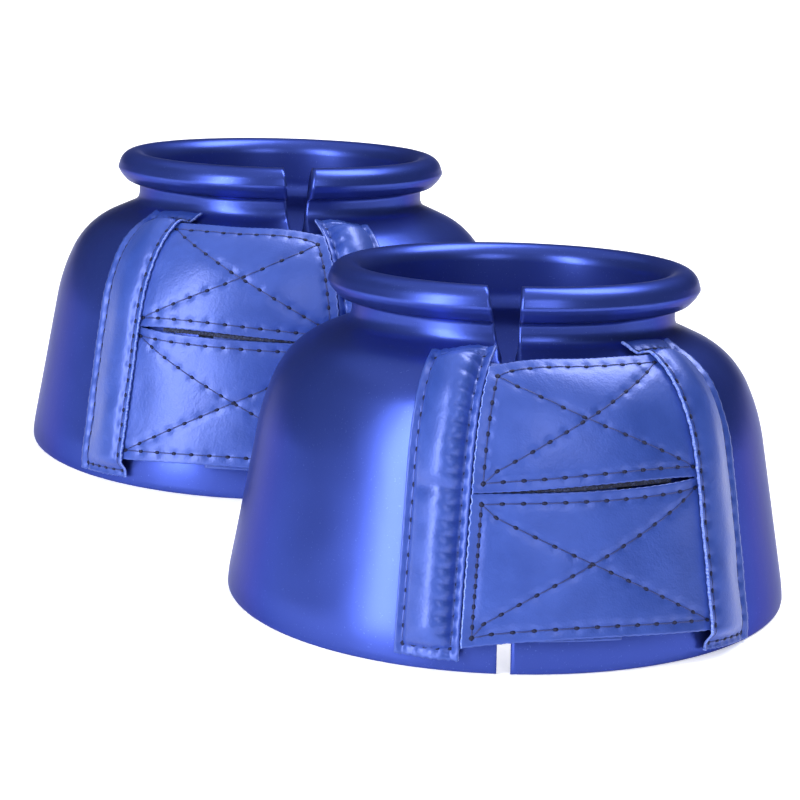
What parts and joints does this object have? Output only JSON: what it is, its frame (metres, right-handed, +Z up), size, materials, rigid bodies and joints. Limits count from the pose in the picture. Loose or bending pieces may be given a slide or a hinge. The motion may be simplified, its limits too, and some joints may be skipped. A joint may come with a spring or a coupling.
{
  "type": "bell boots",
  "caption": "Pair of moulded bell boots for a horse's front hooves: flared shells with rolled collars, a front slit, and double hook-and-loop tabs sewn under vinyl strips.",
  "frame": {"origin": "under the middle of the pair's bounding box, on the floor", "axes": "+Z up, -Y towards the boots' slits, +X towards the boot that stands in front"},
  "size_m": [0.2824, 0.3808, 0.1157],
  "materials": {
    "shell_pvc": "moulded PVC, pearl royal blue, satin gloss",
    "vinyl": "coated vinyl with a fine leather grain, royal blue",
    "hook_loop": "woven nylon hook and loop tape, dark navy",
    "foam": "closed-cell foam filler"
  },
  "bodies": {
    "right_boot": {"right_shell": "shell_pvc", "right_shell_loop": "hook_loop", "right_outer_strip": "vinyl", "right_outer_tab_roots": "vinyl", "right_inner_strip": "vinyl", "right_inner_strip_core": "foam", "right_inner_tab_roots": "vinyl"},
    "right_outer_upper": {"right_outer_upper_tab": "vinyl", "right_outer_upper_hook": "hook_loop"},
    "right_inner_upper": {"right_inner_upper_tab": "vinyl", "right_inner_upper_hook": "hook_loop", "right_inner_upper_loop": "hook_loop"},
    "right_outer_lower": {"right_outer_lower_tab": "vinyl", "right_outer_lower_hook": "hook_loop"},
    "right_inner_lower": {"right_inner_lower_tab": "vinyl", "right_inner_lower_hook": "hook_loop", "right_inner_lower_loop": "hook_loop"},
    "left_boot": {"left_shell": "shell_pvc", "left_shell_loop": "hook_loop", "left_outer_strip": "vinyl", "left_outer_tab_roots": "vinyl", "left_inner_strip": "vinyl", "left_inner_strip_core": "foam", "left_inner_tab_roots": "vinyl"},
    "left_outer_upper": {"left_outer_upper_tab": "vinyl", "left_outer_upper_hook": "hook_loop"},
    "left_inner_upper": {"left_inner_upper_tab": "vinyl", "left_inner_upper_hook": "hook_loop", "left_inner_upper_loop": "hook_loop"},
    "left_outer_lower": {"left_outer_lower_tab": "vinyl", "left_outer_lower_hook": "hook_loop"},
    "left_inner_lower": {"left_inner_lower_tab": "vinyl", "left_inner_lower_hook": "hook_loop", "left_inner_lower_loop": "hook_loop"}
  },
  "joints": [
    {"name": "left_boot_slide", "type": "slide", "parent": "right_boot", "child": "left_boot", "axis": [-0.4434, 0.8963, 0], "range_m": [0, 0.1]},
    {"name": "right_outer_upper_open", "type": "hinge", "parent": "right_boot", "child": "right_outer_upper", "pos_m": [0.10308, -0.14881, 0.08022], "axis": [-0.3784, 0.3975, 0.8359], "range_deg": [0, 150]},
    {"name": "right_inner_upper_open", "type": "hinge", "parent": "right_boot", "child": "right_inner_upper", "pos_m": [0.0356, -0.16939, 0.08192], "axis": [-0.1243, -0.5546, -0.8228], "range_deg": [0, 90]},
    {"name": "right_outer_lower_open", "type": "hinge", "parent": "right_boot", "child": "right_outer_lower", "pos_m": [0.1113, -0.15988, 0.03422], "axis": [-0.1255, 0.1928, 0.9732], "range_deg": [0, 150]},
    {"name": "right_inner_lower_open", "type": "hinge", "parent": "right_boot", "child": "right_inner_lower", "pos_m": [0.03291, -0.18384, 0.0363], "axis": [-0.0413, -0.2449, -0.9687], "range_deg": [0, 90]},
    {"name": "left_outer_upper_open", "type": "hinge", "parent": "left_boot", "child": "left_outer_upper", "pos_m": [-0.08905, 0.0282, 0.08109], "axis": [-0.3063, -0.4662, -0.8299], "range_deg": [0, 150]},
    {"name": "left_inner_upper_open", "type": "hinge", "parent": "left_boot", "child": "left_inner_upper", "pos_m": [-0.01881, 0.02143, 0.08159], "axis": [-0.2177, 0.5202, 0.8258], "range_deg": [0, 90]},
    {"name": "left_outer_lower_open", "type": "hinge", "parent": "left_boot", "child": "left_outer_lower", "pos_m": [-0.09571, 0.01563, 0.03523], "axis": [-0.1016, -0.2155, -0.9712], "range_deg": [0, 150]},
    {"name": "left_inner_lower_open", "type": "hinge", "parent": "left_boot", "child": "left_inner_lower", "pos_m": [-0.01409, 0.00773, 0.0359], "axis": [-0.0723, 0.2335, 0.9697], "range_deg": [0, 60]}
  ],
  "couplings": [
    {"joint": "right_inner_upper_open", "follows": "right_outer_upper_open", "ratio": 0.6},
    {"joint": "right_inner_lower_open", "follows": "right_outer_lower_open", "ratio": 0.6},
    {"joint": "left_inner_upper_open", "follows": "left_outer_upper_open", "ratio": 0.6},
    {"joint": "left_inner_lower_open", "follows": "left_outer_lower_open", "ratio": 0.4}
  ]
}
